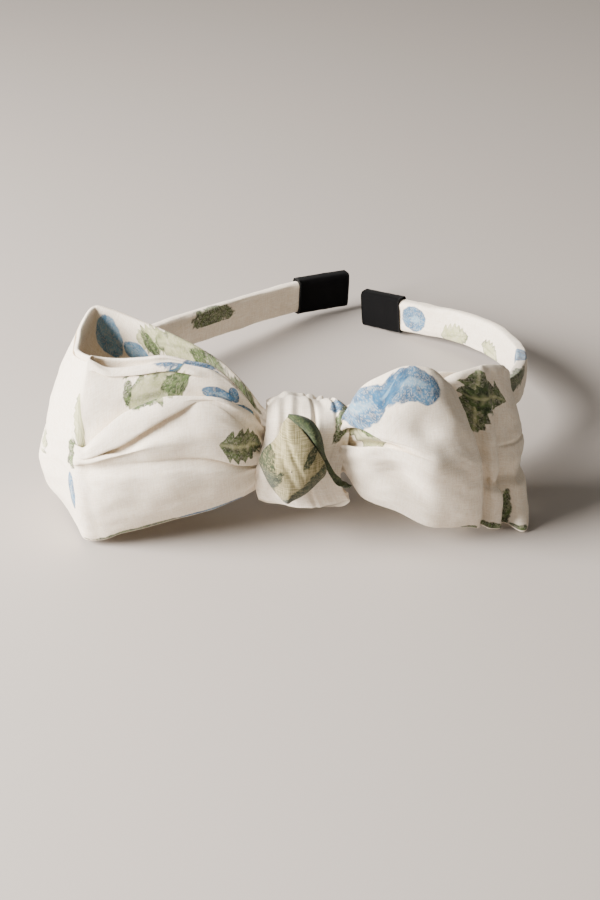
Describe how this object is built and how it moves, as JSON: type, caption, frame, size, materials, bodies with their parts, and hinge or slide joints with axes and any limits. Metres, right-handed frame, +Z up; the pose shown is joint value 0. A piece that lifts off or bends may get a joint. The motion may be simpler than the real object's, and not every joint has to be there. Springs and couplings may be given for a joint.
{
  "type": "headband",
  "caption": "Cloth-covered springy hair band with velvet end caps and a two-loop bow held by a knotted strip.",
  "frame": {"origin": "on the surface that the headband lies on, under the middle of its box", "axes": "+Z up; the bow faces -Y; the tips point to +Y; +X to the right seen from the bow's front"},
  "size_m": [0.1291, 0.1467, 0.0507],
  "materials": {
    "core_plastic": "satin",
    "printed_cloth": "plain-woven cotton and linen cloth with a leaf and flower print",
    "black_velvet": "short-pile velvet",
    "thread": "spun thread",
    "hot_glue": "satin"
  },
  "bodies": {
    "crown": {"core_crown": "core_plastic", "sleeve_crown": "printed_cloth", "bow_left_loop": "printed_cloth", "bow_right_loop": "printed_cloth", "knot_strip": "printed_cloth", "waist_thread": "thread", "glue_dab": "hot_glue"},
    "left_arm": {"core_left": "core_plastic", "sleeve_left": "printed_cloth", "cap_left": "black_velvet"},
    "right_arm": {"core_right": "core_plastic", "sleeve_right": "printed_cloth", "cap_right": "black_velvet"}
  },
  "joints": [
    {"name": "left_flex", "type": "hinge", "parent": "crown", "child": "left_arm", "pos_m": [-0.05498, -0.02, 0.01685], "axis": [0, 0, 1], "range_deg": [0, 35], "stiffness_Nm_per_rad": 0.4},
    {"name": "right_flex", "type": "hinge", "parent": "crown", "child": "right_arm", "pos_m": [0.05633, -0.02, 0.01679], "axis": [0, 0, -1], "range_deg": [0, 35], "stiffness_Nm_per_rad": 0.4}
  ]
}
